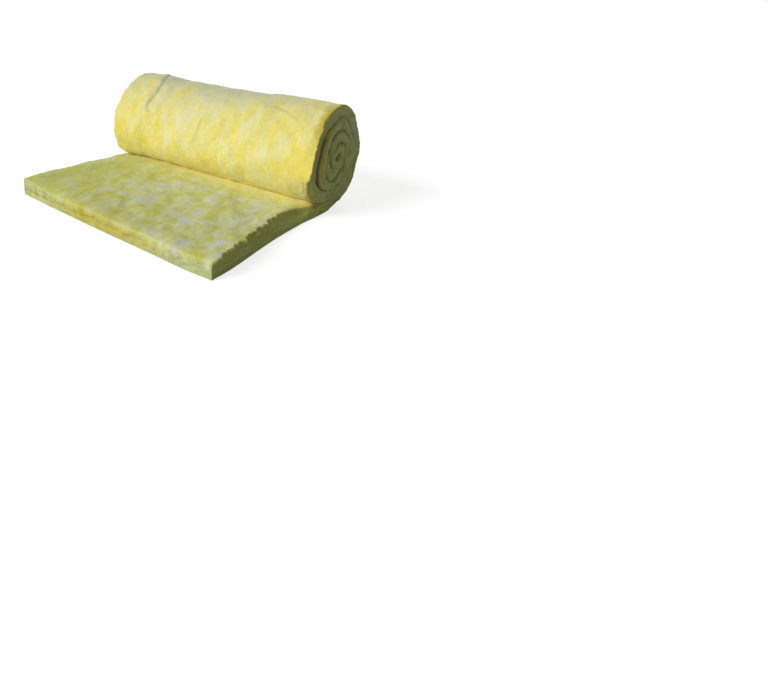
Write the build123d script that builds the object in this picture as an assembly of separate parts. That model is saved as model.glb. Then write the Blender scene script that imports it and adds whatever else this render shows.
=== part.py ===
from build123d import *
import math
import os

# Insulation roll: one blanket of glass wool, wound up, with its loose end lying flat in front.
# The blanket's width runs along X, the loose end points to -Y and the floor is Z = 0.
# It is built with the middle of the roll's axis above the origin, then moved so that the origin is
# on the floor in the middle of its footprint.

# Blanket, as made
blanket_width = 1200.0
blanket_thickness = 80.0

# Winding
turns = 4.6            # from the bore to where the blanket leaves the roll on the floor
wound_share = 0.75     # thickness of a wound turn against that of the loose blanket
bore_diameter = 26.0
flap_length = 850.0    # loose end, from under the middle of the roll to its cut end
askew = 4.0            # degrees by which the roll lies turned on its loose end

# How far the roll has settled under its own weight
flattening = 0.075     # share by which the roll is wider and lower than a round one
sag = 0.22             # share by which its foot is wider and its crown narrower

# Seam between the turns, open at both ends of the roll
seam_width = 8.0
seam_depth = 40.0

# The winding is drawn as this many arcs a turn
arcs_per_turn = 16

# Sizes that follow
turn_thickness = blanket_thickness * wound_share
bore_radius = bore_diameter / 2
round_radius = bore_radius + turns * turn_thickness
axis_height = round_radius * (1 - flattening)
half_width = blanket_width / 2


def spiral(turn):
    """Outer face of the blanket after so many turns from the bore, as (across, up) in the section.

    The radius grows by one turn's thickness a turn. The last turn ends straight below the axis.
    The round winding is then flattened, and spread at its foot, about the axis.
    """
    radius = bore_radius + turn_thickness * turn
    angle = 2 * math.pi * (turns - turn)
    across = radius * math.sin(angle)
    down = radius * math.cos(angle)
    spread = (1 + flattening) * (1 + sag * down / round_radius)
    return Vector(across * spread, axis_height - down * (1 - flattening))


def direction(turn):
    """Unit tangent of the spiral, pointing inwards along the winding."""
    step = 1e-4
    return (spiral(turn - step) - spiral(turn + step)).normalized()


def winding(start, end, offset=0.0):
    """Arcs that follow the spiral from one turn to another, at an offset to its outer side.

    Each arc ends on the offset spiral and is tangent to the arc before it.
    """
    count = math.ceil(abs(end - start) * arcs_per_turn)
    points = []
    for i in range(count + 1):
        turn = start + (end - start) * i / count
        along = direction(turn)
        points.append(spiral(turn) + Vector(along.Y, -along.X) * offset)
    arcs = []
    heading = direction(start)
    for first, last in zip(points, points[1:]):
        arcs.append(TangentArc(first, last, tangent=heading))
        heading = arcs[-1] % 1
    return arcs


def crease_turn():
    """Where the last turn comes down onto the loose end, by halving the front lower quarter."""
    low = turns - 1
    high = turns - 0.75
    for _ in range(50):
        middle = (low + high) / 2
        if spiral(middle).Y < blanket_thickness:
            low = middle
        else:
            high = middle
    return high


def outline(crease):
    """Section of the roll: floor side, outside of the last turn, and down from the crease."""
    outside = winding(turns, crease)
    top = outside[-1] @ 1
    heel = Vector(top.X, 0)
    return Wire([Line(heel, outside[0] @ 0), *outside, Line(top, heel)])


def seam(crease):
    """Ribbon along the spiral, half a seam to each side.

    It starts one seam width outside the crease, so that it opens there, and runs in to the bore.
    """
    start = crease + seam_width / (2 * math.pi * round_radius)
    outer_wall = winding(start, 0, seam_width / 2)
    inner_wall = winding(start, 0, -seam_width / 2)
    mouth = Line(inner_wall[0] @ 0, outer_wall[0] @ 0)
    tail = Line(outer_wall[-1] @ 1, inner_wall[-1] @ 1)
    return Wire([mouth, *outer_wall, tail, *inner_wall])


def between(wire, start, end):
    """Solid with the wire as its section, from X = start to X = end."""
    section = Face(wire)
    plane = Plane(origin=(start, 0, 0), x_dir=(0, 1, 0), z_dir=(1, 0, 0))
    return extrude(plane * section, amount=end - start)


def flap(crease):
    """Loose end: from its cut end, square to it, up to the askew line where the roll sits on it."""
    heel = spiral(crease).X
    left = Vector(-half_width, heel).rotate(Axis.Z, askew)
    right = Vector(half_width, heel).rotate(Axis.Z, askew)
    plan = Polyline((-half_width, -flap_length), (half_width, -flap_length), right, left, close=True)
    return extrude(Face(Wire(plan.edges())), amount=blanket_thickness)


crease = crease_turn()
turn_roll = Rot(0, 0, askew)
blanket = turn_roll * between(outline(crease), -half_width, half_width) + flap(crease)

groove = seam(crease)
blanket -= turn_roll * between(groove, half_width - seam_depth, half_width + seam_width)
blanket -= turn_roll * between(groove, -half_width - seam_width, seam_depth - half_width)

bore = Wire([CenterArc((0, axis_height), bore_radius, 0, 360)])
blanket -= turn_roll * between(bore, -half_width, half_width)

footprint = blanket.bounding_box().center()
blanket = Pos(-footprint.X, -footprint.Y, 0) * blanket

os.makedirs("parts", exist_ok=True)
export_step(blanket, "parts/wool_blanket.step")
print(f"middle of the roll's axis at X {-footprint.X:.2f}, Y {-footprint.Y:.2f} and Z {axis_height:.2f} mm")
print(f"crease {-spiral(crease).X:.1f} mm in front of the axis")
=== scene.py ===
import math
from types import SimpleNamespace

import bpy
import numpy as np
from mathutils import Matrix, Vector


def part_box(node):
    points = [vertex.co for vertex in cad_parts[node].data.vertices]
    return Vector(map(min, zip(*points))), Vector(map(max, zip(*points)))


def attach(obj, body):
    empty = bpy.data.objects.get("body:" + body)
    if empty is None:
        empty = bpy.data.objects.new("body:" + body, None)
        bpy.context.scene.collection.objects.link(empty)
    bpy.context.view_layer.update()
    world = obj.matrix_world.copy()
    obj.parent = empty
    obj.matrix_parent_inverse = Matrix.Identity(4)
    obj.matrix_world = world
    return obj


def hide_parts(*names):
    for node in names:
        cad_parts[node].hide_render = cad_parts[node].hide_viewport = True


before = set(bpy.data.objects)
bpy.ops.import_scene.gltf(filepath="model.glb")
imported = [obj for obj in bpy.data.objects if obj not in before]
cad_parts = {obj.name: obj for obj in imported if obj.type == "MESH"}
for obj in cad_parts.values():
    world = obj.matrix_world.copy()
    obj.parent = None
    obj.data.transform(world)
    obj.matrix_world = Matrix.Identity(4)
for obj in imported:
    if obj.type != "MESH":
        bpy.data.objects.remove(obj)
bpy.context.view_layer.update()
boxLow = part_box("wool_blanket")[0]
print("frame loaded")

# The blanket: sizes as in the model, metres
blanket = {
    "width": 1.2,
    "thickness": 0.080,
    "turns": 4.6,  # from the bore to where the blanket leaves the roll on the floor
    "woundShare": 0.75,  # thickness of a wound turn against the loose blanket
    "boreRadius": 0.013,
    "flapLength": 0.850,
    "askew": math.radians(4),  # the roll lies turned on its loose end
    "flattening": 0.075,  # the settled roll is wider and lower than a round one
    "sag": 0.22,  # and wider at its foot than at its crown
    "turnGap": 0.0024,  # air between two turns
    "woundRound": 0.026,  # how far an inner turn rounds off towards its cut edge
    "lastRound": 0.009,  # the last turn
    "flapRound": 0.011,  # and the loose end
    "softRim": 0.015,  # more on the soft parts of the last turn's right-hand rim
    "edgePower": 5,  # squareness of the loose end's cut edges
    "lessPower": 1.3,  # less on the last turn, and as much again on the inner turns
    "softPower": 1.2,  # less on the soft rim
    "floorPower": 9,  # and more on the floor
    "capPower": (3.5, 14),  # squareness of the cut end's upper edge and of its foot
    "flapStep": 0.0052,  # mesh step along the loose end
    "rollStep": 0.0074,  # round the roll
    "hiddenStep": 0.01332,  # and inside it
    "coarseSpans": 6,  # mesh spans across a face that is hidden
    "fineSpans": 30,  # finer spans in each of those, on a face that shows
    "edgePoints": 14,  # mesh points through the thickness at a cut edge
}

# Lumps of the wool: size of each swell and how far it stands out, metres
lumps = {
    "swells": [(0.260, 0.0066), (0.105, 0.0046), (0.045, 0.0027), (0.020, 0.0010)],
    "edgeRags": [(0.060, 0.0030), (0.026, 0.0034), (0.013, 0.0020)],
    "rimRags": [(0.070, 0.0060), (0.026, 0.0060), (0.012, 0.0030)],
    "rearRags": 0.35,  # share of those rags on the rear of the roll
    "rimSwell": 0.014,  # how far the right-hand rim stands out on the front of the roll
    "rearRim": 0.005,  # and on the rear
    "rimBevel": 0.014,  # how far it falls back above the crease
    "farFoot": 0.014,  # how far the roll's far end swells above the loose end
    "unevenTurns": 0.006,  # how far the wound edges stand in and out from turn to turn
    "wobble": 0.006,  # how far the seams between the inner turns wander
    # where those seams stand off the even winding: turns back from the floor, spread and how far out
    "seamShifts": [(1.74, 0.17, -0.014), (2.74, 0.15, -0.020), (3.02, 0.12, 0.010)],
    "telescope": (0.010, 0.016),  # how far the inner turns have slid along the roll: all, and the core
    # tongues on the loose end's right-hand upper edge: length and share of each kind, reach and droop
    "tongueSizes": [(0.085, 0.75), (0.038, 0.4)],
    "tongues": 0.032,
    "droop": 0.005,
    "ledgeLength": 0.096,  # strips of a lower layer that stand out under them
    "ledge": 0.012,
    "undercut": 0.007,  # the side falls back under them
    "foot": 0.004,  # and stands out at the floor
    "footIn": 0.022,  # but is drawn in there between the corner and the roll
    "lean": 0.055,  # how far that edge leans back on its way to the roll
    "shoulder": 0.045,  # radius to which it is rounded off beside the roll
    "crownDip": 0.008,  # how far the crown sinks along the roll
    "crownFlare": 0.008,  # and rises again towards the right-hand rim
    "farCrown": 0.006,  # how far it sinks at the far rim
    "split": 0.010,  # depth of the split along the cut end
    "splitWander": (0.16, 0.35),  # length of its waves, and height as a share of half the thickness
    "splitDrop": 0.42,  # how far it drops at the far end, as such a share
    "splitPatch": 0.08,  # length over which it comes and goes
    "frontSoft": 0.007,  # how far the cut end's upper edge sinks
    "bow": 0.010,  # how far the cut end bows out in the middle
    "bowReach": 0.5,  # how far back its bow and its near corner are felt
    "corner": (0.008, 0.004),  # how far its near corner is out of square
    "farCorner": (0.014, 0.010),  # how far its far corner stands in and up
    # wool pressed up where the roll sits on the loose end: height, and spread on the two
    "creaseFill": (0.003, 0.028, 0.030),
}

# Tucks in the roll's outside: (x, turns back from the floor) along each, then depth, width and the
# lip that stands up on its far side
tucks = [
    {"path": [(-0.44, 0.49), (-0.389, 0.57), (-0.381, 0.609), (-0.396, 0.664), (-0.384, 0.679),
              (-0.366, 0.682)],
     "depth": 0.0028, "width": 0.0092, "lip": 0.005, "lipWidth": 0.045},
    {"path": [(-0.031, 0.671), (-0.033, 0.697), (-0.045, 0.75)],
     "depth": 0.0022, "width": 0.009, "lip": 0.002, "lipWidth": 0.03},
    {"path": [(0.274, 0.586), (0.326, 0.579), (0.381, 0.588), (0.44, 0.608)],
     "depth": 0.0025, "width": 0.009, "lip": 0.003, "lipWidth": 0.03},
]

turns = blanket["turns"]
thickness = blanket["thickness"]
turnThickness = thickness * blanket["woundShare"]
roundRadius = blanket["boreRadius"] + turns * turnThickness
axisHeight = roundRadius * (1 - blanket["flattening"])
halfWidth = blanket["width"] / 2
flapLength = blanket["flapLength"]
aroundRoll = 2 * math.pi * roundRadius


# Smooth noise from -1 to 1: random values on a cubic lattice, blended by a quintic step between
# the eight corners of the cell that each point is in
def latticeNoise(points, cell, seed):
    size = 48  # the lattice repeats after so many cells
    offset = 200.5  # the part's origin is in the middle of a cell
    table = np.random.default_rng(seed).uniform(-1, 1, (size, size, size))
    place = points / cell + offset
    corner = np.floor(place).astype(int)
    part = place - corner
    part = part ** 3 * (part * (part * 6 - 15) + 10)
    total = np.zeros(len(points))
    for dx, dy, dz in np.ndindex(2, 2, 2):
        weight = np.ones(len(points))
        for axis, step in enumerate((dx, dy, dz)):
            weight *= part[:, axis] if step else 1 - part[:, axis]
        cellIndex = (corner + (dx, dy, dz)) % size
        total += weight * table[cellIndex[:, 0], cellIndex[:, 1], cellIndex[:, 2]]
    return total


# Sum of noises, each with its own cell size and height
def layeredNoise(points, layers, seed):
    return sum(height * latticeNoise(points, cell, seed + i) for i, (cell, height) in enumerate(layers))


# The same noise along one line, shifted by a second value
def lineNoise(along, shift, cell, seed):
    line = np.column_stack([along, np.broadcast_to(shift, len(along)), along * 0])
    return latticeNoise(line, cell, seed)


# Smooth rise from 0 at the start to 1 at the end, three times the square of the part of the way less
# twice its cube. A start above the end turns it round.
def smoothStep(start, end, value):
    part = np.clip((value - start) / (end - start), 0, 1)
    return part * part * (3 - 2 * part)


# Bell of height 1: the exponential of minus the square of the distance from the middle, in spreads
def bell(value, middle, spread):
    return np.exp(-((value - middle) / spread) ** 2)


# Tongues along an edge, from 0 to 1: a saw wave, slow to rise and quick to fall, whose teeth differ
# in length and height
def tongues(along, length, seed):
    count = 400
    uneven, over = 0.45, 2.3  # by how much their lengths differ, and over how many teeth
    peak, end, power = 0.62, 0.78, 1.5  # shares of a tooth at which it is highest and ends, and its rise
    phase = along / length + uneven * lineNoise(along, 0, over * length, seed)
    number = np.floor(phase).astype(int)
    part = phase - number
    height = np.random.default_rng(seed).uniform(0.3, 1.0, count)[number % count]
    return height * np.clip(part / peak, 0, 1) ** power * smoothStep(end, peak, part)


# The settled spiral: a radius that grows by one turn's thickness a turn, with the last turn ending
# straight below the axis, flattened and then spread at its foot. Inside the last turn two waves, of
# three and five to a turn, make it wander, and a few bells shift it. Gives Y and Z for each turn value,
# with Y counted from the roll's foot.
def windingPoint(turn):
    angle = 2 * math.pi * (turns - turn)
    wave = 0.6 * np.sin(3 * angle + 1.7 * turn) + 0.4 * np.sin(5 * angle - 2.1 * turn)
    wave *= smoothStep(turns - 1.0, turns - 1.35, turn) * np.clip(turn, 0, 1)
    radius = blanket["boreRadius"] + turnThickness * turn + lumps["wobble"] * wave
    radius += sum(shift * bell(turns - turn, at, spread) for at, spread, shift in lumps["seamShifts"])
    down = radius * np.cos(angle)
    spread = (1 + blanket["flattening"]) * (1 + blanket["sag"] * down / roundRadius)
    across = radius * np.sin(angle) * spread
    return np.stack([across, axisHeight - down * (1 - blanket["flattening"])], axis=-1)


# Unit normal of the spiral, pointing away from the axis
def windingNormal(turn):
    step = 1e-4
    along = windingPoint(turn + step) - windingPoint(turn - step)
    along /= np.linalg.norm(along, axis=-1, keepdims=True)
    return np.stack([along[..., 1], -along[..., 0]], axis=-1)


# Length along a line of points, up to each of them
def runLength(line):
    return np.concatenate([[0], np.cumsum(np.linalg.norm(np.diff(line, axis=0), axis=1))])


# Where the last turn comes down on the loose end, by halving the front lower quarter
def findCrease():
    low, high = turns - 1, turns - 0.75
    for _ in range(50):
        middle = (low + high) / 2
        if windingPoint(middle)[1] < thickness:
            low = middle
        else:
            high = middle
    return high


creaseTurn = findCrease()
creaseY = windingPoint(creaseTurn)[0]


# Turns each point with the roll about the roll's foot and moves it to the part's frame. On the
# loose end the straight line across at its cut end goes over into the askew one at the crease.
def toFrame(points, onFlap):
    cosine, sine = math.cos(blanket["askew"]), math.sin(blanket["askew"])
    before = onFlap & (points[:, 1] < creaseY)
    y = np.where(before, creaseY, points[:, 1])
    plan = np.column_stack([points[:, 0] * cosine - y * sine, points[:, 0] * sine + y * cosine])
    over = (points[:, 1] + flapLength) / (creaseY + flapLength)
    straight = np.column_stack([points[:, 0], np.full(len(points), -flapLength)])
    plan[before] = (straight + (plan - straight) * over[:, None])[before]
    outside = windingPoint(np.linspace(creaseTurn, turns, 2000))[:, 0]
    footX = (outside.min() + outside.max()) / 2 * sine
    footY = boxLow.y + flapLength
    return np.column_stack([plan[:, 0] + footX, plan[:, 1] + footY, points[:, 2]])


# Rings across the blanket, from the cut end in to the bore: the outer and inner face of each, the
# turn that it is on, and which faces show there
def blanketRings():
    gap = blanket["turnGap"] / 2
    under = windingPoint(np.linspace(creaseTurn, turns - 1, 400))
    pastCrease = 0.02  # turns in which the outside goes in
    flapEnd = -0.004  # just before the roll's foot

    flapY = np.arange(blanket["flapRound"] - flapLength, flapEnd, blanket["flapStep"])
    flapOuter = np.stack([flapY, np.zeros_like(flapY)], axis=1)
    sunk = np.interp(flapY, under[:, 0], under[:, 1] - gap)
    flapInner = np.stack([flapY, np.where(flapY < creaseY, thickness, sunk)], axis=1)
    flapTurn = turns - flapY / aroundRoll

    table = np.linspace(turns, 0.02, 6000)
    length = runLength(windingPoint(table))
    outsideEnd = np.interp(-(creaseTurn - pastCrease), -table, length)
    shown = np.interp(np.arange(0, outsideEnd, blanket["rollStep"]), length, table)
    hidden = np.interp(np.arange(outsideEnd, length[-1], blanket["hiddenStep"]), length, table)
    rollTurn = np.concatenate([shown, hidden])
    wound = smoothStep(creaseTurn, creaseTurn - pastCrease, rollTurn)[:, None]
    rollOuter = windingPoint(rollTurn) - windingNormal(rollTurn) * gap * wound
    innerTurn = np.maximum(rollTurn - 1, 0)
    axis = np.array([0, axisHeight])
    radial = windingPoint(rollTurn) - axis
    radial /= np.linalg.norm(radial, axis=1, keepdims=True)
    rollInner = np.where(rollTurn[:, None] > 1, windingPoint(innerTurn) + windingNormal(innerTurn) * gap,
                         axis + radial * blanket["boreRadius"])

    outer = np.concatenate([flapOuter, rollOuter])
    inner = np.concatenate([flapInner, rollInner])
    turn = np.concatenate([flapTurn, rollTurn])
    place = np.arange(len(turn))
    behind, before = 0.03, 3  # metres behind the crease, rings before the roll's foot
    topShows = (outer[:, 0] < creaseY + behind) & (place < len(flapY))
    outsideShows = (place >= len(flapY) - before) & (place < len(flapY) + len(shown))
    return outer, inner, turn, topShows, outsideShows, len(flapY)


# Points round a section of the blanket, in order: outer face, right edge, inner face, left edge.
# Each has its share across the face (-1 to 1, closer together towards the edges), its share through
# the blanket (1 outer, -1 inner), the side of the edge that it is on, and the point that it meets
# when the section is pressed flat. subset() leaves out points on a face that is hidden.
def sectionPoints():
    spans = blanket["coarseSpans"] * blanket["fineSpans"]
    count = blanket["edgePoints"]
    closer = 0.25
    even = np.linspace(-1, 1, spans + 1)
    across = (1 + closer) * even - closer * even ** 3
    angle = np.pi * (np.arange(count) + 1) / (count + 1)
    through = np.sign(np.cos(angle)) * np.abs(np.cos(angle)) ** 0.7
    face, edge = np.zeros(spans + 1), np.ones(count)
    share = np.concatenate([across, edge, across[::-1], -edge])
    deep = np.concatenate([face + 1, through, face - 1, through[::-1]])
    side = np.concatenate([face, edge, face, -edge])
    keys = np.arange(len(share))
    parts = np.split(keys, [spans + 1, spans + 1 + count, 2 * spans + 2 + count])
    meets = np.concatenate([parts[2][::-1], parts[1][::-1], parts[0][::-1], parts[3][::-1]])
    keep = np.arange(spans + 1) % blanket["fineSpans"] == 0
    allEdge = np.ones(count, bool)
    allFace = np.ones(spans + 1, bool)

    def subset(outerFine, innerFine):
        return keys[np.concatenate([allFace if outerFine else keep, allEdge,
                                    allFace if innerFine else keep, allEdge])]
    return share, deep, side, meets, subset


# Faces between two neighbouring rings, given as vertex numbers and section keys: a quad where both
# have the same two points, and where one ring has more points a fan from the other ring's point
def stitchRings(first, firstKeys, second, secondKeys):
    quads, triangles = [], []
    total = max(firstKeys[-1], secondKeys[-1]) + 1
    for a, aKeys, b, bKeys, flip in ((first, firstKeys, second, secondKeys, False),
                                     (second, secondKeys, first, firstKeys, True)):
        nextA = np.roll(a, -1)
        nextB = np.roll(b, -1)
        nextKey = np.append(aKeys[1:], aKeys[0] + total)
        owner = np.searchsorted(bKeys, aKeys, side="right") - 1
        nextOwnerKey = np.append(bKeys[1:], bKeys[0] + total)[owner]
        same = (bKeys[owner] == aKeys) & (nextOwnerKey == nextKey)
        finer = (nextOwnerKey > nextKey) | (bKeys[owner] < aKeys)
        if not flip:
            quads.append(np.stack([a[same], nextA[same], nextB[owner[same]], b[owner[same]]], axis=1))
        fan = np.stack([a[finer], nextA[finer], b[owner[finer]]], axis=1)
        last = finer & (nextOwnerKey == nextKey)
        close = np.stack([nextA[last], nextB[owner[last]], b[owner[last]]], axis=1)
        both = np.concatenate([fan, close])
        triangles.append(both[:, ::-1] if flip else both)
    return np.concatenate(quads), np.concatenate(triangles)


# Distance from each point to a line through a few points, all in the same two coordinates, and the
# side of the line that it is on
def lineDistance(points, path):
    best = np.full(len(points), np.inf)
    side = np.zeros(len(points))
    for start, end in zip(path, path[1:]):
        run = end - start
        part = np.clip(((points - start) @ run) / (run @ run), 0, 1)
        away = points - start - part[:, None] * run
        far = np.linalg.norm(away, axis=1)
        near = far < best
        best[near] = far[near]
        side[near] = np.sign(run[0] * away[near, 1] - run[1] * away[near, 0])
    return best, side


# Every mesh point on the smooth blanket: the section carried along the rings, with the cut end of
# the loose end closed by shrinking rings. A cut edge is a superellipse, squarer on the loose end and
# rounder on the wound turns. Gives arrays with one value for each point.
def placePoints():
    outer, inner, turn, topShows, outsideShows, flapCount = blanketRings()
    share, deep, side, meets, subset = sectionPoints()
    middle = (outer + inner) / 2
    path = runLength(middle)

    # rings of the cut end: their share of the thickness, and how far back each is from the end, at
    # its soft upper edge and its square foot
    capShare = np.array([0, 0.14, 0.28, 0.42, 0.56, 0.70, 0.82, 0.91, 0.97])
    ringShare = np.concatenate([capShare, np.ones(len(turn))])
    ringRow = np.concatenate([np.zeros(len(capShare), int), np.arange(len(turn))])

    def ringBack(power):
        return -blanket["flapRound"] * np.concatenate([(1 - capShare ** power) ** (1 / power), 0 * turn])

    p = SimpleNamespace()
    p.ringKeys = [subset(True, True) for _ in capShare]
    p.ringKeys += [subset(skinFine, topFine) for skinFine, topFine in zip(outsideShows, topShows)]
    p.meets = meets
    sizes = np.array([len(keys) for keys in p.ringKeys])
    p.starts = np.concatenate([[0], np.cumsum(sizes)])
    ring = np.repeat(np.arange(len(sizes)), sizes)
    key = np.concatenate(p.ringKeys)
    row = ringRow[ring]
    p.share, p.side = share[key], side[key]
    p.turn = turn[row]
    p.rowY = middle[row, 0]
    p.onFlap = row < flapCount
    p.capPart = 1 - ringShare[ring]

    # how far each point is into the last turn and the inner ones, and how round its cut edge is there
    lastPart = smoothStep(turns + 0.12, turns - 0.06, p.turn)
    innerPart = smoothStep(creaseTurn + 0.12, creaseTurn - 0.30, p.turn)
    edgeRound = (blanket["flapRound"] + (blanket["lastRound"] - blanket["flapRound"]) * lastPart
                 + (blanket["woundRound"] - blanket["lastRound"]) * innerPart)
    onFloor = smoothStep(turns - 0.12, turns - 0.02, p.turn) * (deep[key] > 0)
    softRim = hump("softUpperRim", turns - p.turn) + hump("softLowerRim", turns - p.turn)
    softRim *= p.share > 0
    edgeRound += blanket["softRim"] * softRim
    power = blanket["edgePower"] - blanket["lessPower"] * (lastPart + innerPart)
    power += blanket["floorPower"] * onFloor - blanket["softPower"] * softRim
    out = (1 - np.abs(deep[key]) ** power) ** (1 / power)
    p.x = p.share * (halfWidth - edgeRound) + p.side * edgeRound * out
    p.half = 0.5 + 0.5 * deep[key] * ringShare[ring]
    p.through = 2 * p.half - 1
    flat = inner[row] + (outer[row] - inner[row]) * p.half[:, None]
    foot = smoothStep(-0.3, 0.3, deep[key])
    upperPower, footPower = blanket["capPower"]
    back = ringBack(upperPower)[ring] * (1 - foot) + ringBack(footPower)[ring] * foot
    flat[:, 0] += back
    p.points = np.column_stack([p.x, flat])
    p.length = path[row] + back

    # the way that each point is pushed out, and whether it is on a cut edge
    across = outer[row] - inner[row]
    p.thick = np.maximum(np.linalg.norm(across, axis=1), 1e-6)
    p.away = np.column_stack([p.side * out, across / p.thick[:, None] * p.through[:, None]])
    p.away[:, 1] -= np.clip(p.capPart * 4, 0, 1)
    p.away /= np.maximum(np.linalg.norm(p.away, axis=1), 1e-6)[:, None]
    p.isEdge = np.maximum(smoothStep(0.15, 0.75, out * np.abs(p.side)), smoothStep(0.0, 0.12, p.capPart))
    p.onOuter = p.half > 0.5
    return p


# Where the lumps and tints lie: the start and end of a smooth rise, or the middle and spread of a bell.
# A third number is the strength of a tint.
spots = {
    # lumps round the roll, in turns back from its foot on the floor: a half is its crown
    "raggedRim": (0.40, 0.60), "rimSwell": (0.76, 0.10), "rearRim": (0.46, 0.38),
    "rimBevel": (0.765, 0.805), "softUpperRim": (0.59, 0.06), "softLowerRim": (0.85, 0.06),
    "farFoot": (0.87, 0.04),
    # across the blanket, metres from its middle
    "farEnd": (-0.40, -0.58), "dipStart": (-0.44, -0.33), "dipEnd": (0.34, 0.10),
    "farCrown": (-0.46, -0.58), "crownFlare": (0.14, 0.40), "splitLow": (-0.20, -0.60),
    "splitEnd": (0.30, 0.0),
    # across a face, as a share of its half width
    "faceEdge": (0.94, 1.0), "leanFace": (0.72, 1.0), "footInFace": (0.80, 1.0),
    "softFace": (-1.0, -0.8), "farCornerFace": (-0.75, -1.0), "bowFace": (0.78, 0.22),
    # along the loose end, metres from its cut end
    "pastCorner": (0.0, 0.12), "leanStart": (0.05, 0.50), "leanEnd": (0.74, 0.60),
    "footInStart": (0.03, 0.46), "footInEnd": (0.85, 0.60), "softEdge": (0.0, 0.022),
    "farCorner": (0.0, 0.22),
    # along it, metres from the crease
    "raggedSide": (-0.14, -0.26), "shoulderStart": (-0.26, -0.06), "shoulderEnd": (0.07, 0.0),
    # up its right-hand side: -1 is the foot and 1 the upper face
    "tongueUp": (0.15, 0.8), "ledgeUp": (0.48, 0.12), "undercutUp": (0.15, 0.40),
    "footUp": (-0.2, -0.9), "leanUp": (-0.7, 1.0), "footInUp": (0.7, -1.0),
    # tints round the roll, in turns back from its foot
    "warmFront": (0.60, 0.84), "warmEnds": (0.46, 0.64, 0.8), "warmRight": (0.58, 0.14, 0.9),
    "warmFarFoot": (0.82, 0.08, 1.4), "glowRim": (0.44, 0.60, 0.6), "greyRear": (0.30, 0.14, 0.7),
    "rimShade": (0.68, 0.14, 0.28), "rimGold": (0.60, 0.10, 1.1), "rimFront": (0.73, 0.10, 0.4),
    "rimLow": (0.13, 0.06, 0.4), "secondTurn": (1.74, 0.13, 0.7),
    # across the blanket, metres from its middle
    "ends": (0.44, 0.58), "warmRightX": (0.0, 0.45), "warmFarX": (-0.58, 0.07),
    "flapWarm": (0.05, -0.40), "flapLess": (0.05, 0.40, 0.25), "glowRimX": (0.59, 0.03),
    "crownLess": (0.20, 0.50, 0.4), "greyRight": (0.15, 0.45, 0.45), "greyLeft": (-0.10, -0.45, 0.4),
    "frontPale": (-0.55, -0.15, 0.5), "nearRim": (0.540, 0.575), "rimLine": (0.570, 0.010, 0.6),
    "frontPatchX": (-0.03, 0.26), "farLeft": (-0.20, -0.50, 0.3),
    # through the blanket: 1 is its outer face and -1 its inner face
    "wrap": (0.35, 0.65), "over": (-0.25, -0.85), "rimGoldIn": (0.4, 0.8), "seam": (0.76, 1.0),
    "creaseFace": (0.75, 0.95), "underTongues": (-0.72, 0.25, 0.5), "frontPatch": (-0.10, 0.8, 1.5),
}

# Tints that hang on no one place
tints = {
    "warmLess": 0.3,  # yellow that the whole roll is without
    "warmHidden": 1.6,  # yellow on the inner face inside the roll
    "glowRoll": 0.85,  # painted light at the crease on the roll, against the loose end
    "glowReach": 0.09,  # metres that it reaches
    "creaseReach": (0.014, 0.008),  # and the crease's painted shade, on the loose end and on the roll
    "crown": (0.47, 0.14, 0.08),  # grey and painted shade on the crown: turns back, spread to the front and the rear
    "streaks": (1.6, 0.9, 0.35),  # streaks along the turns: contrast, pale and dark
    "hiddenShade": 0.6,  # painted shade between two turns
    "rimFoot": (0.035, 0.8),  # painted half-shade in ochre on the rim at the crease: spread and strength
    "upperEdge": (0.05, 0.55),  # ochre on the cut end's upper edge
    "greenEnds": 0.4,  # green on the sides and ends, partly painted shade
}

# Seeds of the noises
seeds = {"swells": 11, "edgeRags": 31, "tongues": 51, "ledges": 53, "rimRags": 61, "splitLine": 71,
         "splitPatches": 72, "ragged": 81, "seams": 83, "streaks": 85}


# Smooth rise at a place, times its strength where it has one
def rise(name, value):
    start, end, *strength = spots[name]
    return smoothStep(start, end, value) * math.prod(strength)


# Bell at a place, times its strength where it has one
def hump(name, value):
    middle, spread, *strength = spots[name]
    return bell(value, middle, spread) * math.prod(strength)


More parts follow.
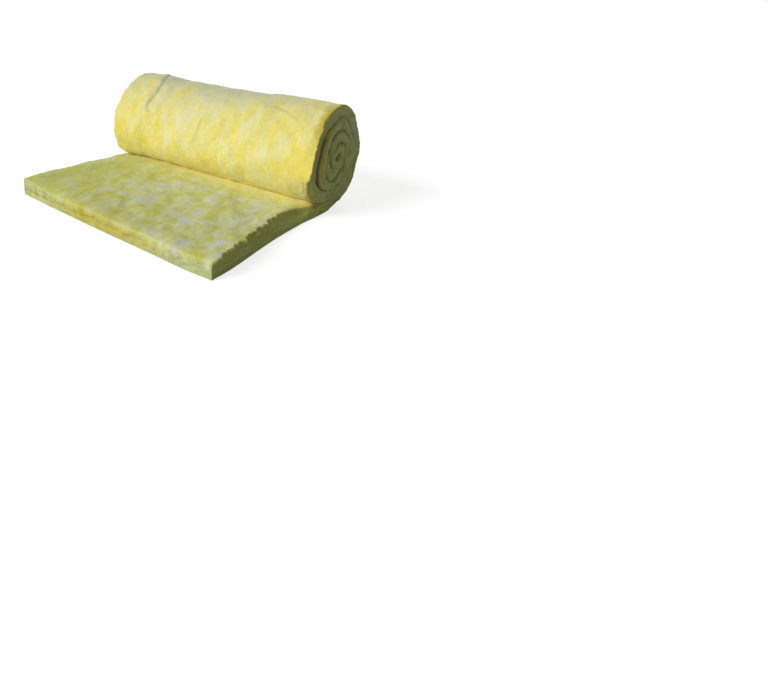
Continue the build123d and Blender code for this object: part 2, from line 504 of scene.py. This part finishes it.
# Wool on the smooth blanket: swells, rags, tongues, splits and tucks, each pushed along the point's
# own normal or across the blanket
def roughen(p):
    points = p.points
    onRoll = ~p.onFlap
    onInner = ~p.onOuter
    atEnd = np.abs(p.share) > 0.9999
    rightHalf = p.share > 0
    back = turns - p.turn  # 0 at the roll's foot, a half on its crown
    alongRoll = back * aroundRoll
    fromCrease = p.rowY - creaseY
    up = -p.through  # on the loose end, 1 is its upper face and -1 its foot

    # where the wool is free to swell: not on the floor, and not between two turns
    lastTurn = smoothStep(-0.004, 0.02, p.turn - creaseTurn)
    p.skin = smoothStep(0.005, 0.10, back) * lastTurn * p.onOuter
    flapTop = smoothStep(0.002, -0.03, fromCrease) * p.onFlap * onInner
    offFloor = smoothStep(0.0, 0.03, points[:, 2])
    free = np.maximum(p.skin + flapTop, p.isEdge * offFloor)
    swell = layeredNoise(points, lumps["swells"], seeds["swells"]) * free
    rags = layeredNoise(points, lumps["edgeRags"], seeds["edgeRags"]) * p.isEdge * offFloor
    points += p.away * (swell + rags)[:, None]

    # wool pressed up on both sides of the crease
    fillOut, fillFlap, fillRoll = lumps["creaseFill"]
    onFill = bell(fromCrease, 0, fillFlap) * (fromCrease < 0.01) * p.onFlap * onInner
    onFill += bell(alongRoll, (turns - creaseTurn) * aroundRoll, fillRoll) * onRoll * p.onOuter
    points += p.away * (onFill * fillOut * (1 - p.isEdge))[:, None]

    # ends of the roll: the inner turns have slid to the right and stand unevenly
    innerTurns = smoothStep(0.20, -0.20, p.turn - creaseTurn)
    slidAll, slidCore = lumps["telescope"]
    slid = slidAll * innerTurns + slidCore * np.clip(1 - p.turn / creaseTurn, 0, 1)
    uneven = np.sin(p.turn * 2.3 + p.side) * np.sin(p.turn * 5.1) * innerTurns
    points[:, 0] += slid * onRoll + np.sign(p.share) * atEnd * lumps["unevenTurns"] * uneven

    # ragged rim of the last turn: the right-hand one stands out on the front and the rear, and falls
    # back above the crease
    rimEdge = np.where(atEnd, smoothStep(0.1, 0.8, p.through), rise("faceEdge", np.abs(p.share)))
    alongRim = np.column_stack([alongRoll, 3.3 * np.sign(p.share), 0 * alongRoll])
    rag = layeredNoise(alongRim, lumps["rimRags"], seeds["rimRags"])
    rag *= lumps["rearRags"] + (1 - lumps["rearRags"]) * rise("raggedRim", back)
    rag += lumps["rimSwell"] * hump("rimSwell", back) * rightHalf
    rag += lumps["rearRim"] * rise("rearRim", back) * rightHalf
    rag -= lumps["rimBevel"] * rise("rimBevel", back) * rightHalf
    points[:, 0] += np.sign(p.share) * rag * rimEdge * p.skin

    # far end of the roll, fuller above the loose end
    full = hump("farFoot", back) * rise("farEnd", p.x)
    full *= smoothStep(0.0, 0.02, p.turn - creaseTurn) * p.skin
    points += p.away * (lumps["farFoot"] * full)[:, None]

    # right-hand edge of the loose end: tongues over strips, on a side that falls back a little
    fromCut = points[:, 1] + flapLength
    tooth = sum(share * tongues(fromCut, length, seeds["tongues"] + i)
                for i, (length, share) in enumerate(lumps["tongueSizes"]))
    strip = tongues(fromCut, lumps["ledgeLength"], seeds["ledges"])
    onRight = p.side > 0
    topEdge = np.where(onRight, rise("tongueUp", up), rise("faceEdge", p.share) * onInner)
    ragged = rise("raggedSide", fromCrease)
    pastCorner = rise("pastCorner", fromCut)
    shift = topEdge * (tooth * (0.3 + 0.7 * pastCorner) - 0.35 * pastCorner) * lumps["tongues"]
    shift += hump("ledgeUp", up) * onRight * smoothStep(0.30, 0.55, strip) * lumps["ledge"]
    shift -= hump("undercutUp", up) * onRight * pastCorner * lumps["undercut"]
    shift = shift * ragged + rise("footUp", up) * onRight * pastCorner * lumps["foot"]

    # further back that side leans back at its top and is drawn in at its foot
    slope = np.where(onRight, rise("leanUp", up), rise("leanFace", p.share) * onInner)
    leans = rise("leanStart", fromCut) * rise("leanEnd", fromCut)
    atFoot = np.where(onRight, rise("footInUp", up), rise("footInFace", p.share) * p.onOuter)
    drawnIn = rise("footInStart", fromCut) * rise("footInEnd", fromCut)
    shift -= slope * leans * lumps["lean"] + atFoot * drawnIn * lumps["footIn"]
    points[:, 0] += shift * p.onFlap
    points[:, 2] -= topEdge * tooth * lumps["droop"] * ragged * p.onFlap * onRight

    # beside the roll that edge is rounded off
    fall = rise("shoulderStart", fromCrease) * rise("shoulderEnd", fromCrease)
    radius = lumps["shoulder"] * fall * p.onFlap + 1e-6
    fromSide = np.clip(1 - (halfWidth - p.x) / radius, 0, 1)
    sink = 0.7 * radius * (1 - np.sqrt(1 - fromSide ** 2))
    points[:, 2] -= sink * np.clip(points[:, 2] / thickness, 0, 1)

    # split along the cut end: it wanders, lies low at the far end, and comes and goes
    front = smoothStep(0.0, 0.10, p.capPart)
    low = rise("splitLow", p.x)
    wanderCell, wanderMost = lumps["splitWander"]
    wander = wanderMost * lineNoise(p.x, 0, wanderCell, seeds["splitLine"]) * (1 - 0.85 * low)
    wander += lumps["splitDrop"] * low
    patchy = np.clip(0.7 + 0.9 * lineNoise(p.x, 1, lumps["splitPatch"], seeds["splitPatches"]), 0, 1)
    patchy *= rise("splitEnd", p.x)
    p.split = front * bell(p.through, 0.05 + wander, 0.20) * patchy
    points[:, 1] += lumps["split"] * p.split

    # the cut end: its soft upper edge, its far corner, its bow and its near corner
    lifted = np.clip(points[:, 2] / thickness, 0, 1)
    soft = hump("softEdge", fromCut) * smoothStep(0.2, 1.0, lifted) * rise("softFace", p.share)
    points[:, 2] -= lumps["frontSoft"] * soft * p.onFlap
    farIn, farUp = lumps["farCorner"]
    farCorner = hump("farCorner", fromCut) * rise("farCornerFace", p.share) * p.onFlap
    points[:, 0] += farIn * farCorner * lifted
    points[:, 2] += farUp * farCorner * lifted
    near = np.clip(1 - fromCut / lumps["bowReach"], 0, 1) * p.onFlap
    points[:, 1] -= lumps["bow"] * near * (1 - p.share ** 2 + 0.55 * hump("bowFace", p.share))
    points[:, :2] += (near * np.clip((p.share + 1) / 2, 0, 1))[:, None] * lumps["corner"]

    # crown of the roll: a dip along it, a lower far end and a higher near end
    dip = rise("dipStart", p.x) * rise("dipEnd", p.x) * lumps["crownDip"]
    dip += rise("farCrown", p.x) * lumps["farCrown"]
    flare = rise("crownFlare", p.x) * lumps["crownFlare"]
    high = smoothStep(0.30, 0.50, points[:, 2]) * p.skin * np.clip(p.through, 0, 1)
    points[:, 2] += (flare - dip) * high

    # tucks in the roll's outside
    surface = np.column_stack([p.x, alongRoll])
    p.tuck = np.zeros(len(points))
    for tuck in tucks:
        far, sideOf = lineDistance(surface, np.array(tuck["path"]) * (1, aroundRoll))
        groove = bell(far, 0, tuck["width"])
        lip = bell(far, 0, tuck["lipWidth"]) * smoothStep(-0.6, 1.0, far * sideOf / tuck["width"])
        points += p.away * ((tuck["lip"] * lip - tuck["depth"] * groove) * p.skin)[:, None]
        # each groove's depth is kept for the painted shade in the tucks
        p.tuck = np.maximum(p.tuck, groove * p.skin * tuck["depth"] / tucks[0]["depth"])
    points[:, 2] = np.maximum(points[:, 2], 0.0)


# Values that the material reads, one for each point: a tint is the product of its rises and bells
def paintValues(p):
    onRoll = ~p.onFlap
    back = turns - p.turn  # 0 at the roll's foot, a half on its crown
    onEdge = np.abs(p.side)
    onRim = onEdge * p.isEdge

    # yellow low on the roll's front and towards its ends, where the hidden inner face is deep yellow too
    rollWarm = rise("warmFront", back) + rise("ends", np.abs(p.x)) * rise("warmEnds", back)
    rollWarm += rise("warmRightX", p.x) * hump("warmRight", back) - tints["warmLess"]
    rollWarm += hump("warmFarX", p.x) * hump("warmFarFoot", back)
    flapWarm = rise("flapWarm", p.x) - rise("flapLess", p.x)
    warm = np.where(p.onFlap, flapWarm, np.where(p.onOuter, rollWarm, tints["warmHidden"]))
    fromCrease = np.where(p.onFlap, p.points[:, 1] - creaseY, (p.turn - creaseTurn) * aroundRoll)
    # painted light beside the crease, on the loose end and on the roll, where the two shade each other,
    # and a painted highlight along the right-hand rim on the roll's front
    glow = np.exp(-np.abs(fromCrease) / tints["glowReach"]) * (p.onFlap + tints["glowRoll"] * p.skin)
    glow += hump("glowRimX", p.x) * rise("glowRim", back) * p.skin

    # grey along the crown, which also darkens the top there as painted shade, and on the two sides of
    # the cut end
    crown, toFront, toRear = tints["crown"]
    greyTint = bell(back, crown, np.where(back > crown, toFront, toRear)) * onRoll * (1 - p.isEdge)
    greyTint *= 1 - rise("crownLess", p.x)
    greyTint += (p.capPart > 0) * (rise("greyRight", p.x) + rise("greyLeft", p.x))

    # the skin comes round the rim of the last turn, and the inner face over the cut end's upper edge
    ragged = latticeNoise(p.points, 0.03, seeds["ragged"])
    bevelled = rise("rimBevel", back) * (p.x > 0) * p.skin
    wrap = rise("wrap", p.through + 0.4 * ragged + 0.5 * bevelled) * onEdge * p.skin
    wrap *= 1 - 0.35 * bevelled
    front = smoothStep(0.0, 0.10, p.capPart) * (1 - onEdge)
    over = front * rise("over", p.through + 0.4 * ragged)
    pale = front * rise("frontPale", p.x)
    cut = p.isEdge * (1 - 0.9 * wrap) * (1 - 0.8 * over) * (1 - pale)

    # the right-hand rim: painted shade in gold where its rounded upper front turns from the light, ochre
    # along its bevel, grey on the rear
    nearRim = rise("nearRim", p.x + 0.010 * ragged) * p.skin
    rimGold = nearRim * hump("rimGold", back) * rise("rimGoldIn", p.through)
    rimLine = hump("rimLine", p.x + 0.008 * ragged) * bevelled * (1 - onEdge)
    rightEnd = onRim * onRoll * (p.side > 0)
    greyTint += rightEnd * hump("greyRear", back)

    # paler and darker streaks along the turns on both ends of the roll
    contrast, paler, darker = tints["streaks"]
    alongTurns = np.column_stack([0.4 * p.length, p.half * p.thick, p.x])
    streaks = contrast * latticeNoise(alongTurns, 0.022, seeds["streaks"]) * onRim * onRoll
    greyTint += paler * np.clip(streaks, 0, 1)

    # painted shade in a seam between two turns, in patches; what is hidden between them gets painted
    # shade as well, as does the right-hand rim, and darker streaks of tone go in with it
    pressed = np.where(p.onFlap, smoothStep(creaseY, creaseY + 0.03, p.rowY), 1)
    wound = smoothStep(0.01, -0.03, p.turn - creaseTurn) * onRoll
    seam = np.maximum(rise("seam", -p.through) * pressed, rise("seam", p.through) * wound) * onEdge
    seam *= np.clip(0.75 + latticeNoise(p.points, 0.055, seeds["seams"]), 0.3, 1)
    hidden = np.where(p.onOuter, wound, pressed) * (1 - p.isEdge) * smoothStep(0.9, 1.2, p.turn)
    for shade in (rightEnd * hump("rimShade", back), darker * np.clip(-streaks, 0, 1),
                  tints["hiddenShade"] * hidden):
        seam = np.maximum(seam, shade)

    # painted shade in the crease, on its two faces and where it opens at the ends
    facing = np.where(p.onFlap, p.half < 0.5, p.onOuter) * rise("creaseFace", np.abs(p.through))
    crease = np.exp(-np.abs(fromCrease) / np.where(p.onFlap, *tints["creaseReach"])) * facing

    # ochre in the split, painted shade under the tongues, painted half-shade on the rim at the crease,
    # and ochre on the rest of the rim, the second turn and the cut end
    footSpread, footOchre = tints["rimFoot"]
    rimFoot = footOchre * bell(back, turns - creaseTurn, footSpread) * onEdge * p.skin
    rimFront = hump("rimFront", back) * onRim * (p.turn > creaseTurn) * onRoll
    otherRims = (hump("secondTurn", back) + hump("rimLow", back)) * onRim
    underTongues = hump("underTongues", p.through) * (p.side > 0) * p.onFlap
    edgeSpread, edgeOchre = tints["upperEdge"]
    upperEdge = edgeOchre * bell(p.points[:, 1] + flapLength, 0, edgeSpread)
    upperEdge *= ~p.onOuter * p.onFlap * (1 - onEdge)
    frontPatch = np.maximum(front * hump("frontPatch", p.through), upperEdge) * hump("frontPatchX", p.x)
    ochreAndShade = p.split + underTongues + rimFoot + rimFront + otherRims + frontPatch + rimGold + rimLine

    # green on the cut sides and ends, partly the wool's own yellow-green and partly painted shade, and a
    # little on the loose end's far left
    farLeft = rise("farLeft", p.x) * p.onFlap * (1 - onEdge)
    greenAndShade = tints["greenEnds"] * onRim + farLeft * (1 - front)
    return {"outerSkin": p.half * (1 - 0.65 * front), "cutEdge": cut, "warmth": warm, "glow": glow,
            "greyTint": greyTint, "greenAndShade": greenAndShade, "ochreAndShade": np.clip(ochreAndShade, 0, 1), "paintedShadeAndStreaks": seam,
            "paintedCreaseShade": crease, "paintedTuckShade": p.tuck}


def addObject(name, data):
    thing = bpy.data.objects.new(name, data)
    bpy.context.scene.collection.objects.link(thing)
    return thing


# The blanket as one closed surface. Its first and last ring are pressed flat, so each point there
# is the one that it meets, and a quad that folds over on itself there is a triangle.
def buildBlanket():
    p = placePoints()
    roughen(p)
    values = paintValues(p)
    rings = [np.arange(start, end) for start, end in zip(p.starts, p.starts[1:])]
    for at in (0, -1):
        keys = p.ringKeys[at]
        partner = rings[at][np.searchsorted(keys, p.meets[keys])]
        p.points[rings[at]] = (p.points[rings[at]] + p.points[partner]) / 2
        rings[at] = np.minimum(rings[at], partner)
    stitched = [stitchRings(rings[i], p.ringKeys[i], rings[i + 1], p.ringKeys[i + 1])
                for i in range(len(rings) - 1)]
    quads = np.concatenate([four for four, _ in stitched])
    atFirst = quads[:, 0] == quads[:, 1]
    atLast = quads[:, 2] == quads[:, 3]
    folded = [quads[atFirst][:, 1:], quads[atLast][:, :3]]
    quads = quads[~(atFirst | atLast)][:, ::-1]
    triangles = np.concatenate([three for _, three in stitched] + folded)[:, ::-1]
    used, numbers = np.unique(np.concatenate([quads.ravel(), triangles.ravel()]), return_inverse=True)
    quads = numbers[:quads.size].reshape(-1, 4)
    triangles = numbers[quads.size:].reshape(-1, 3)

    mesh = bpy.data.meshes.new("wool_blanket_soft")
    mesh.from_pydata(toFrame(p.points, p.onFlap)[used], [], quads.tolist() + triangles.tolist())
    coord = np.column_stack([p.length, p.x, p.half * p.thick])[used].astype(np.float32)
    mesh.attributes.new("woolCoord", "FLOAT_VECTOR", "POINT").data.foreach_set("vector", coord.ravel())
    for name, value in values.items():
        value = value[used].astype(np.float32)
        mesh.attributes.new(name, "FLOAT", "POINT").data.foreach_set("value", value)
    mesh.polygons.foreach_set("use_smooth", np.ones(len(mesh.polygons), bool))
    mesh.update()
    print("blanket surface:", len(used), "points,", 2 * len(quads) + len(triangles), "triangles")
    return addObject("wool_blanket_soft", mesh)


def feed(tree, socket, value):
    if isinstance(value, bpy.types.NodeSocket):
        tree.links.new(value, socket)
    else:
        socket.default_value = value


def addNode(tree, kind, inputs=None, **settings):
    node = tree.nodes.new(kind)
    for name, value in settings.items():
        setattr(node, name, value)
    for name, value in (inputs or {}).items():
        feed(tree, node.inputs[name], value)
    return node


# Sockets 0, 6, 7 and 2 of the mix node are its factor, its two colours and its result
def mixColours(tree, factor, first, second, blend="MIX"):
    node = addNode(tree, "ShaderNodeMix", data_type="RGBA", blend_type=blend)
    feed(tree, node.inputs[0], factor)
    feed(tree, node.inputs[6], first)
    feed(tree, node.inputs[7], second)
    return node.outputs[2]


def mathNode(tree, operation, *values):
    node = addNode(tree, "ShaderNodeMath", operation=operation)
    for socket, value in zip(node.inputs, values):
        feed(tree, socket, value)
    return node.outputs[0]


def rampNode(tree, factor, stops):
    node = addNode(tree, "ShaderNodeValToRGB", {"Fac": factor})
    elements = node.color_ramp.elements
    while len(elements) < len(stops):
        elements.new(0.5)
    for element, (place, colour) in zip(elements, stops):
        element.position = place
        element.color = (*colour, 1)
    return node.outputs["Color"]


# Noise from 0 to 1 with so many patches to a metre in each direction
def noiseNode(tree, place, scale, detail=4.0, distortion=0.6):
    mapped = addNode(tree, "ShaderNodeMapping", {"Vector": place, "Scale": scale})
    noise = addNode(tree, "ShaderNodeTexNoise", {
        "Vector": mapped.outputs[0], "Scale": 1.0, "Detail": detail, "Roughness": 0.62,
        "Distortion": distortion})
    return noise.outputs["Fac"]


def readValue(tree, name, output="Fac"):
    return addNode(tree, "ShaderNodeAttribute", attribute_name=name).outputs[output]


# Finish of the wool: linear colours from deep to pale, for its outer skin, its inner face and its
# cut edges, with the tone at which each stands, and the tints that go over them: painted light in the
# glow, and a grey, a green and an ochre that are each partly painted shade
wool = {
    "skin": [(0.05, (0.78, 0.66, 0.12)), (0.33, (0.79, 0.70, 0.20)), (0.62, (0.78, 0.72, 0.29)),
             (0.95, (0.76, 0.73, 0.41))],
    "face": [(0.0, (0.56, 0.54, 0.05)), (0.30, (0.58, 0.60, 0.15)), (0.60, (0.62, 0.65, 0.29)),
             (0.95, (0.63, 0.645, 0.56))],
    "cut": [(0.36, (0.35, 0.36, 0.08)), (0.50, (0.48, 0.51, 0.15)), (0.64, (0.60, 0.63, 0.27))],
    "glow": (0.90, 0.78, 0.18),
    "greyTintColour": (0.49, 0.515, 0.345),
    "greenAndShade": (0.40, 0.48, 0.08),
    "ochreAndShade": (0.51, 0.44, 0.07),
    # painted shade in the tucks, the crease and the seams: its colour, and how much at most
    "paintedShades": [("paintedTuckShade", (0.50, 0.48, 0.11), 0.35), ("paintedCreaseShade", (0.36, 0.20, 0.03), 0.8),
               ("paintedShadeAndStreaks", (0.13, 0.11, 0.03), 0.9)],
    "wisps": [(0.40, (0.90, 0.90, 0.84)), (0.68, (1.05, 1.05, 1.12))],
    "tone": (2.3, 1.8, -1.55, -0.22),  # from the large patches, the small ones, all over and the warmth
    # patches to a metre along the blanket, across it and through it
    "largePatches": (7, 11, 12),
    "smallPatches": (19, 27, 30),
    "layers": (14, 14, 150),
    "clumps": (60, 60, 60),
    "fibres": (24, 260, 220),
    "fibreAngles": [(0.25, 0.0), (1.15, 3.1), (2.0, 7.7)],  # angle of each run of streaks, and its shift
    "roughness": 0.95,
    "specular": 0.15,
    "sheen": (0.15, 0.6),  # weight and roughness
    "bump": (0.3, 0.004),  # strength and height
}


# Matted fibre: streaks that cross at several angles on the blanket's own length and width, with
# layers through its thickness. Puts out a height and a mask of pale wisps.
def makeFibreGroup():
    tree = bpy.data.node_groups.new("mattedFibre", "ShaderNodeTree")
    tree.interface.new_socket("Place", in_out="INPUT", socket_type="NodeSocketVector")
    tree.interface.new_socket("Height", in_out="OUTPUT", socket_type="NodeSocketFloat")
    tree.interface.new_socket("Wisps", in_out="OUTPUT", socket_type="NodeSocketFloat")
    enter = tree.nodes.new("NodeGroupInput")
    leave = tree.nodes.new("NodeGroupOutput")
    total = None
    for angle, shift in wool["fibreAngles"]:
        turned = addNode(tree, "ShaderNodeMapping", {
            "Vector": enter.outputs["Place"], "Rotation": (0, 0, angle), "Scale": wool["fibres"],
            "Location": (shift, shift, shift)})
        streak = addNode(tree, "ShaderNodeTexNoise", {
            "Vector": turned.outputs[0], "Scale": 1.0, "Detail": 3.0, "Roughness": 0.6,
            "Distortion": 0.5})
        streak = streak.outputs["Fac"]
        total = streak if total is None else mathNode(tree, "MAXIMUM", total, streak)
    # the height is that of the streaks and the clumps, and the wisps are halfway between the two
    clump = noiseNode(tree, enter.outputs["Place"], wool["clumps"], 5.0, 0.8)
    feed(tree, leave.inputs["Height"], mathNode(tree, "MULTIPLY_ADD", clump, 1.6, total))
    half = mathNode(tree, "MULTIPLY", total, 0.5)
    feed(tree, leave.inputs["Wisps"], mathNode(tree, "MULTIPLY_ADD", clump, 0.5, half))
    return tree


def makeWoolMaterial(fibreGroup):
    material = bpy.data.materials.new("glass_wool")
    material.use_nodes = True
    tree = material.node_tree
    shader = tree.nodes["Principled BSDF"]
    place = readValue(tree, "woolCoord", "Vector")
    fibre = addNode(tree, "ShaderNodeGroup", node_tree=fibreGroup)
    feed(tree, fibre.inputs["Place"], place)

    # a tint over the colour, by one of the surface's values times a factor
    def tinted(colour, name, factor, tint):
        amount = mathNode(tree, "MULTIPLY", readValue(tree, name), factor)
        return mixColours(tree, amount, colour, (*tint, 1))

    # tone runs from 0, deep yellow, to 1, pale: large patches, small ones, and the warmth of the place
    patch = noiseNode(tree, place, wool["largePatches"])
    spot = noiseNode(tree, place, wool["smallPatches"], 5.0, 0.9)
    fromPatch, fromSpot, allOver, fromWarmth = wool["tone"]
    tone = mathNode(tree, "MULTIPLY_ADD", patch, fromPatch, mathNode(tree, "MULTIPLY", spot, fromSpot))
    tone = mathNode(tree, "ADD", tone, allOver)
    tone = mathNode(tree, "MULTIPLY_ADD", readValue(tree, "warmth"), fromWarmth, tone)
    skinColour = rampNode(tree, tone, wool["skin"])
    faceColour = rampNode(tree, tone, wool["face"])
    skinMask = rampNode(tree, readValue(tree, "outerSkin"), [(0.35, (0, 0, 0)), (0.65, (1, 1, 1))])
    colour = mixColours(tree, skinMask, faceColour, skinColour)
    # painted light beside the crease and along the right-hand rim
    colour = tinted(colour, "glow", 0.9, wool["glow"])

    # cut edges, with a ragged line where they begin
    layer = noiseNode(tree, place, wool["layers"], 4.0, 0.4)
    cutColour = rampNode(tree, layer, wool["cut"])
    ragged = mathNode(tree, "MULTIPLY_ADD", spot, 0.9, readValue(tree, "cutEdge"))
    cutMask = rampNode(tree, ragged, [(0.80, (0, 0, 0)), (0.95, (1, 1, 1))])
    colour = mixColours(tree, cutMask, colour, cutColour)

    # tints over both, in patches, of which the grey, the green and the ochre are partly painted shade,
    # then pale wisps and the painted shade of the tucks, the crease and the seams
    colour = tinted(colour, "greyTint", mathNode(tree, "MULTIPLY", patch, 1.5), wool["greyTintColour"])
    colour = tinted(colour, "greenAndShade", 1.0, wool["greenAndShade"])
    colour = tinted(colour, "ochreAndShade", mathNode(tree, "MULTIPLY", spot, 1.9), wool["ochreAndShade"])
    wisps = rampNode(tree, fibre.outputs["Wisps"], wool["wisps"])
    colour = mixColours(tree, 1.0, colour, wisps, "MULTIPLY")
    for name, tint, most in wool["paintedShades"]:
        colour = tinted(colour, name, most, tint)
    feed(tree, shader.inputs["Base Color"], colour)

    strength, height = wool["bump"]
    bump = addNode(tree, "ShaderNodeBump", {
        "Height": fibre.outputs["Height"], "Strength": strength, "Distance": height})
    feed(tree, shader.inputs["Normal"], bump.outputs["Normal"])
    sheen, sheenRoughness = wool["sheen"]
    shader.inputs["Roughness"].default_value = wool["roughness"]
    shader.inputs["Specular IOR Level"].default_value = wool["specular"]
    shader.inputs["Sheen Weight"].default_value = sheen
    shader.inputs["Sheen Roughness"].default_value = sheenRoughness
    return material


softBlanket = buildBlanket()
woolMaterial = makeWoolMaterial(makeFibreGroup())
softBlanket.data.materials.append(woolMaterial)
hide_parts("wool_blanket")
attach(softBlanket, "root")
print("blanket dressed")

# Studio: floor, lights and camera
studio = {
    "cameraPlace": (1.61715, -1.76253, 0.9608),  # metres
    "cameraRight": (0.80479, 0.59081, 0.05717),
    "cameraAhead": (-0.51243, 0.74015, -0.43543),
    "focalPixels": 494.57,
    "principalPoint": (260.0, 230.0),  # pixel that the camera looks straight at
    "picture": (768, 699),  # pixels
    "sensor": 36.0,  # mm
    "ambient": 0.25,  # light of the white sky on the object
    "keyFrom": (-0.43, -0.78, 0.455),  # towards the lamp
    "keyStrength": 3.0,
    "keySpread": 0.5,
    "backFrom": (-0.35, 0.85, 0.22),
    "backStrength": 1.3,
    "floorShade": 0.42,  # white of the floor that takes light and shadow
    "floorGlow": 0.75,  # and that is only seen
    "floorDrop": 0.0005,  # metres below the blanket
}


def addSun(name, comesFrom, strength, spread):
    lamp = bpy.data.lights.new(name, "SUN")
    lamp.energy = strength
    lamp.angle = spread
    addObject(name, lamp).rotation_euler = Vector(comesFrom).to_track_quat("Z", "Y").to_euler()


# Strength that is seen by the camera and in reflections, beside the light that falls on things
def seenStrength(tree, strength):
    rays = addNode(tree, "ShaderNodeLightPath")
    seen = mathNode(tree, "MAXIMUM", rays.outputs["Is Camera Ray"], rays.outputs["Is Glossy Ray"])
    return mathNode(tree, "MULTIPLY", seen, strength)


def buildFloor():
    size = 60.0
    mesh = bpy.data.meshes.new("floor")
    corners = [(-size, -size, 0), (size, -size, 0), (size, size, 0), (-size, size, 0)]
    mesh.from_pydata(corners, [], [(0, 1, 2, 3)])
    floor = addObject("floor", mesh)
    floor.location.z = -studio["floorDrop"]
    material = bpy.data.materials.new("floor_white")
    material.use_nodes = True
    tree = material.node_tree
    tree.nodes.clear()
    shade = studio["floorShade"]
    diffuse = addNode(tree, "ShaderNodeBsdfDiffuse", {"Color": (shade, shade, shade, 1)})
    glow = addNode(tree, "ShaderNodeEmission", {"Strength": seenStrength(tree, studio["floorGlow"])})
    both = addNode(tree, "ShaderNodeAddShader")
    feed(tree, both.inputs[0], diffuse.outputs[0])
    feed(tree, both.inputs[1], glow.outputs[0])
    feed(tree, addNode(tree, "ShaderNodeOutputMaterial").inputs["Surface"], both.outputs[0])
    mesh.materials.append(material)


# White sky, dimmer as light than it is seen
def buildWorld():
    world = bpy.data.worlds.new("studio")
    world.use_nodes = True
    tree = world.node_tree
    tree.nodes.clear()
    seen = seenStrength(tree, 1 - studio["ambient"])
    strength = mathNode(tree, "ADD", seen, studio["ambient"])
    sky = addNode(tree, "ShaderNodeBackground", {"Color": (1, 1, 1, 1), "Strength": strength})
    feed(tree, addNode(tree, "ShaderNodeOutputWorld").inputs["Surface"], sky.outputs[0])
    bpy.context.scene.world = world


# Camera from its place and two of its directions, with a shifted lens
def buildCamera():
    lens = bpy.data.cameras.new("camera")
    wide, high = studio["picture"]
    centreX, centreY = studio["principalPoint"]
    lens.sensor_fit = "HORIZONTAL"
    lens.sensor_width = studio["sensor"]
    lens.lens = studio["sensor"] * studio["focalPixels"] / wide
    lens.shift_x = (wide / 2 - centreX) / wide
    lens.shift_y = (centreY - high / 2) / wide
    lens.clip_end = 200
    camera = addObject("camera", lens)
    right = Vector(studio["cameraRight"]).normalized()
    back = -Vector(studio["cameraAhead"]).normalized()
    up = back.cross(right).normalized()
    right = up.cross(back)
    turned = Matrix((right, up, back)).transposed().to_4x4()
    camera.matrix_world = Matrix.Translation(studio["cameraPlace"]) @ turned
    bpy.context.scene.camera = camera


buildFloor()
buildWorld()
addSun("key", studio["keyFrom"], studio["keyStrength"], studio["keySpread"])
addSun("back", studio["backFrom"], studio["backStrength"], studio["keySpread"])
buildCamera()
bpy.context.scene.view_settings.view_transform = "Standard"
print("studio ready")
